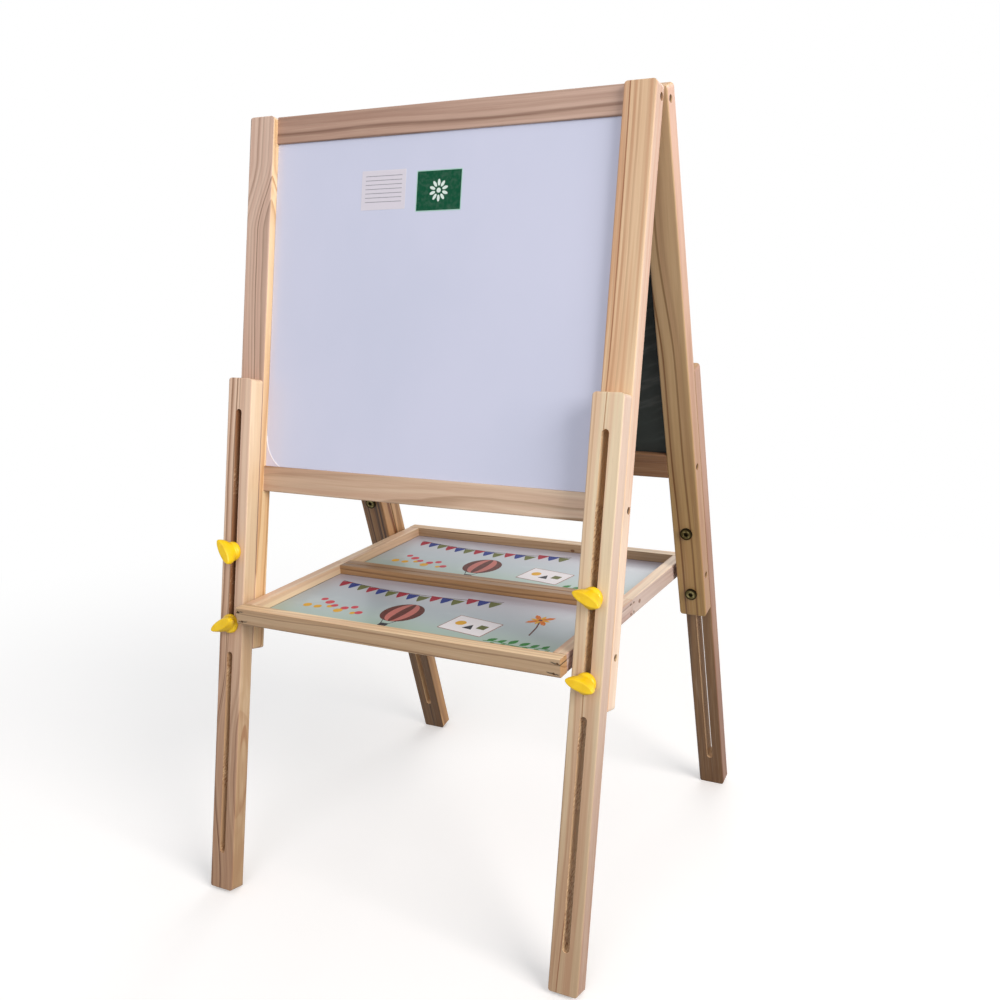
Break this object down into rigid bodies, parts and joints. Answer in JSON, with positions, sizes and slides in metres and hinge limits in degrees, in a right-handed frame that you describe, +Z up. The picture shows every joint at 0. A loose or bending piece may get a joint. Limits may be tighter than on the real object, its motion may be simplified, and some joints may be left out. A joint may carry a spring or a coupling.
{
  "type": "kids easel",
  "caption": "Double-sided folding A-frame easel with a white board, a chalk board, a folding shelf and slotted sliding legs.",
  "frame": {"origin": "on the floor, midway between the four feet", "axes": "+X to the right seen from the white board side, +Y to the back, +Z up"},
  "size_m": [0.5, 0.5126, 0.892],
  "materials": {
    "pine_stile": "clear-coated pine",
    "pine_rail": "clear-coated pine",
    "pine_leg": "clear-coated pine",
    "pine_shelf": "clear-coated pine",
    "white_coat": "white glossy coated hardboard",
    "chalk_coat": "matt dark chalk coating on hardboard",
    "print": "printed hardboard under a satin film",
    "yellow": "moulded, satin gloss",
    "brassed": "dull brass-coloured plating",
    "zinc": "bright zinc",
    "dark_steel": "dark oiled steel",
    "nylon": "natural nylon"
  },
  "bodies": {
    "front_frame": {"front_stile_left": "pine_stile", "front_stile_right": "pine_stile", "front_top_rail": "pine_rail", "front_lower_rail": "pine_rail", "white_board": "white_coat", "front_bolts": "brassed", "front_frame_screws": "dark_steel", "top_hinge_leaves_front": "zinc", "top_hinge_pins": "zinc", "top_hinge_screws_front": "zinc", "front_pivot_screws": "dark_steel", "front_pivot_spacers": "nylon"},
    "rear_frame": {"rear_stile_left": "pine_stile", "rear_stile_right": "pine_stile", "rear_top_rail": "pine_rail", "rear_lower_rail": "pine_rail", "chalk_board": "chalk_coat", "rear_bolts": "brassed", "rear_frame_screws": "dark_steel", "top_hinge_leaves_rear": "zinc", "top_hinge_screws_rear": "zinc", "rear_pivot_screws": "dark_steel", "rear_pivot_spacers": "nylon"},
    "front_shelf": {"shelf_front_rail": "pine_shelf", "shelf_front_mid_rail": "pine_shelf", "shelf_front_side_left": "pine_shelf", "shelf_front_side_right": "pine_shelf", "shelf_front_panel": "print", "shelf_front_nails": "dark_steel", "mid_hinge_leaves_front": "zinc", "mid_hinge_pins": "zinc", "mid_hinge_screws_front": "zinc"},
    "rear_shelf": {"shelf_rear_rail": "pine_shelf", "shelf_rear_mid_rail": "pine_shelf", "shelf_rear_side_left": "pine_shelf", "shelf_rear_side_right": "pine_shelf", "shelf_rear_panel": "print", "shelf_rear_nails": "dark_steel", "mid_hinge_leaves_rear": "zinc", "mid_hinge_screws_rear": "zinc"},
    "front_leg_left": {"front_leg_left": "pine_leg"},
    "nut_front_left_upper": {"nut_front_left_upper": "yellow", "insert_front_left_upper": "zinc"},
    "nut_front_left_lower": {"nut_front_left_lower": "yellow", "insert_front_left_lower": "zinc"},
    "front_leg_right": {"front_leg_right": "pine_leg"},
    "nut_front_right_upper": {"nut_front_right_upper": "yellow", "insert_front_right_upper": "zinc"},
    "nut_front_right_lower": {"nut_front_right_lower": "yellow", "insert_front_right_lower": "zinc"},
    "rear_leg_left": {"rear_leg_left": "pine_leg"},
    "nut_rear_left_upper": {"nut_rear_left_upper": "yellow", "insert_rear_left_upper": "zinc"},
    "nut_rear_left_lower": {"nut_rear_left_lower": "yellow", "insert_rear_left_lower": "zinc"},
    "rear_leg_right": {"rear_leg_right": "pine_leg"},
    "nut_rear_right_upper": {"nut_rear_right_upper": "yellow", "insert_rear_right_upper": "zinc"},
    "nut_rear_right_lower": {"nut_rear_right_lower": "yellow", "insert_rear_right_lower": "zinc"}
  },
  "joints": [
    {"name": "fold", "type": "hinge", "parent": "front_frame", "child": "rear_frame", "pos_m": [0, 0, 0.88376], "axis": [-1, 0, 0], "range_deg": [0, 20]},
    {"name": "front_shelf_fold", "type": "hinge", "parent": "front_frame", "child": "front_shelf", "pos_m": [0, -0.14434, 0.3425], "axis": [1, 0, 0], "range_deg": [0, 65.94]},
    {"name": "rear_shelf_fold", "type": "hinge", "parent": "front_shelf", "child": "rear_shelf", "pos_m": [0, 0, 0.329], "axis": [-1, 0, 0], "range_deg": [0, 151.88]},
    {"name": "front_leg_left_slide", "type": "slide", "parent": "front_frame", "child": "front_leg_left", "axis": [0, -0.2334, -0.9724], "range_m": [0, 0.163]},
    {"name": "nut_front_left_upper_turn", "type": "hinge", "parent": "front_frame", "child": "nut_front_left_upper", "pos_m": [-0.2325, -0.15953, 0.40991], "axis": [0, -0.9724, 0.2334], "continuous": true},
    {"name": "nut_front_left_lower_turn", "type": "hinge", "parent": "front_frame", "child": "nut_front_left_lower", "pos_m": [-0.2325, -0.17972, 0.3258], "axis": [0, -0.9724, 0.2334], "continuous": true},
    {"name": "front_leg_right_slide", "type": "slide", "parent": "front_frame", "child": "front_leg_right", "axis": [0, -0.2334, -0.9724], "range_m": [0, 0.163]},
    {"name": "nut_front_right_upper_turn", "type": "hinge", "parent": "front_frame", "child": "nut_front_right_upper", "pos_m": [0.2325, -0.15953, 0.40991], "axis": [0, -0.9724, 0.2334], "continuous": true},
    {"name": "nut_front_right_lower_turn", "type": "hinge", "parent": "front_frame", "child": "nut_front_right_lower", "pos_m": [0.2325, -0.17972, 0.3258], "axis": [0, -0.9724, 0.2334], "continuous": true},
    {"name": "rear_leg_left_slide", "type": "slide", "parent": "rear_frame", "child": "rear_leg_left", "axis": [0, 0.2334, -0.9724], "range_m": [0, 0.163]},
    {"name": "nut_rear_left_upper_turn", "type": "hinge", "parent": "rear_frame", "child": "nut_rear_left_upper", "pos_m": [-0.2325, 0.15953, 0.40991], "axis": [0, 0.9724, 0.2334], "continuous": true},
    {"name": "nut_rear_left_lower_turn", "type": "hinge", "parent": "rear_frame", "child": "nut_rear_left_lower", "pos_m": [-0.2325, 0.17972, 0.3258], "axis": [0, 0.9724, 0.2334], "continuous": true},
    {"name": "rear_leg_right_slide", "type": "slide", "parent": "rear_frame", "child": "rear_leg_right", "axis": [0, 0.2334, -0.9724], "range_m": [0, 0.163]},
    {"name": "nut_rear_right_upper_turn", "type": "hinge", "parent": "rear_frame", "child": "nut_rear_right_upper", "pos_m": [0.2325, 0.15953, 0.40991], "axis": [0, 0.9724, 0.2334], "continuous": true},
    {"name": "nut_rear_right_lower_turn", "type": "hinge", "parent": "rear_frame", "child": "nut_rear_right_lower", "pos_m": [0.2325, 0.17972, 0.3258], "axis": [0, 0.9724, 0.2334], "continuous": true}
  ],
  "couplings": [
    {"joint": "front_shelf_fold", "follows": "fold", "ratio": 3.297},
    {"joint": "rear_shelf_fold", "follows": "fold", "ratio": 7.594}
  ]
}
